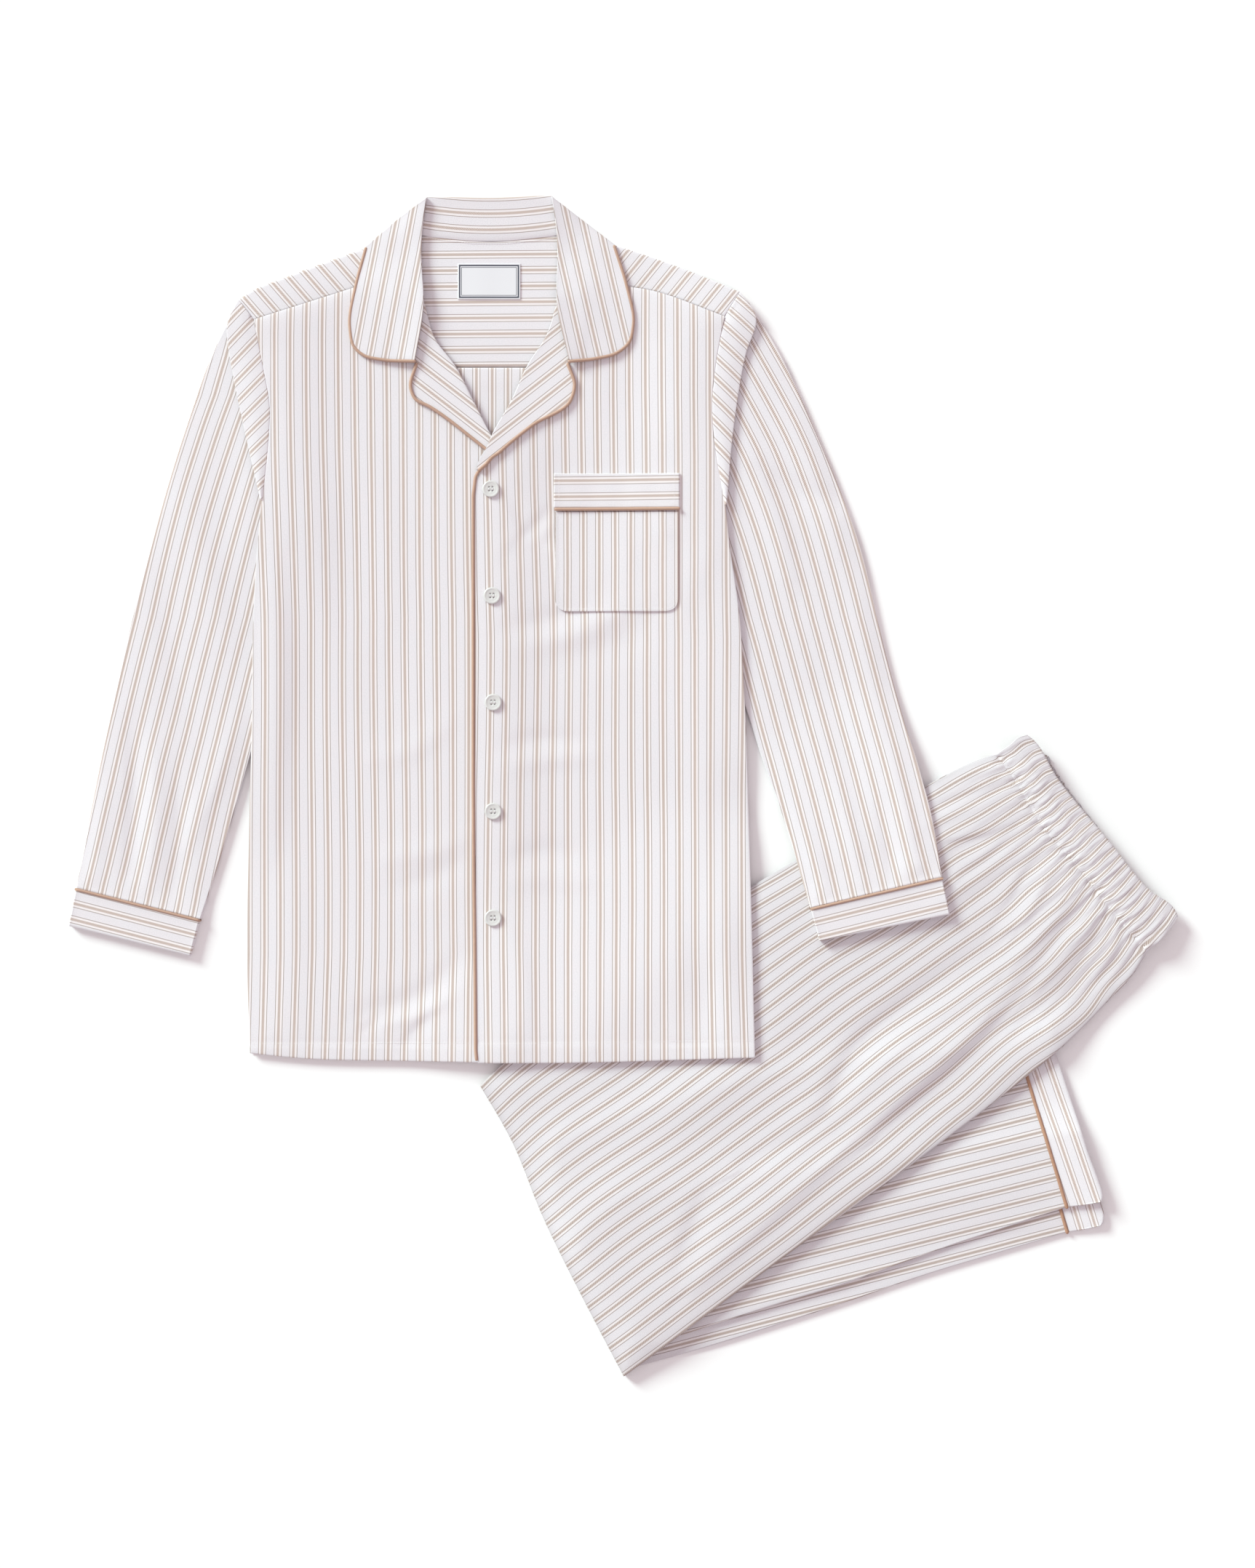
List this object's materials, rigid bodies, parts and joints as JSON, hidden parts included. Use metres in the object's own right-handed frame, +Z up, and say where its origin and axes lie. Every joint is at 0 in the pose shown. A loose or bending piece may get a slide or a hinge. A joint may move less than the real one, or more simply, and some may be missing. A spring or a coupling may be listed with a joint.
{
  "type": "pyjama set",
  "caption": "Long-sleeved buttoned pyjama shirt with a notched collar, laid flat over folded trousers with a gathered waist, in striped cotton with contrast piping.",
  "frame": {"origin": "on the surface that the set lies on, under the middle of its outline", "axes": "+Z up from the surface, +Y towards the shirt's collar, +X to the right seen from above"},
  "size_m": [0.9888, 1.0546, 0.0145],
  "materials": {
    "striped_cotton": "brushed cotton with tan ticking stripes on white, matt",
    "shaded_cotton": "the same cotton, inside the folds",
    "tan_piping": "tan cotton piping, matt",
    "pearl_button": "white pearl",
    "woven_label": "woven satin label, blank"
  },
  "bodies": {
    "root": {"back": "striped_cotton", "yoke": "striped_cotton", "front_left": "striped_cotton", "front_right": "striped_cotton", "sleeve_left": "striped_cotton", "sleeve_right": "striped_cotton", "sleeve_head_left": "striped_cotton", "sleeve_head_right": "striped_cotton", "cuff_left": "striped_cotton", "cuff_right": "striped_cotton", "collar": "striped_cotton", "lapel_left": "striped_cotton", "lapel_right": "striped_cotton", "pocket": "striped_cotton", "pocket_band": "striped_cotton", "leg_upper": "striped_cotton", "waistband": "striped_cotton", "leg_lower_a": "striped_cotton", "leg_lower_b": "striped_cotton", "hem_band_a": "striped_cotton", "hem_band_b": "striped_cotton", "leg_core": "shaded_cotton", "waistband_back": "shaded_cotton", "collar_piping_left": "tan_piping", "collar_piping_right": "tan_piping", "lapel_piping_left": "tan_piping", "lapel_piping_right": "tan_piping", "front_piping": "tan_piping", "pocket_piping": "tan_piping", "cuff_piping_left": "tan_piping", "cuff_piping_right": "tan_piping", "hem_piping_a": "tan_piping", "hem_piping_b": "tan_piping", "button_1": "pearl_button", "button_2": "pearl_button", "button_3": "pearl_button", "button_4": "pearl_button", "button_5": "pearl_button", "neck_label": "woven_label"}
  },
  "joints": []
}
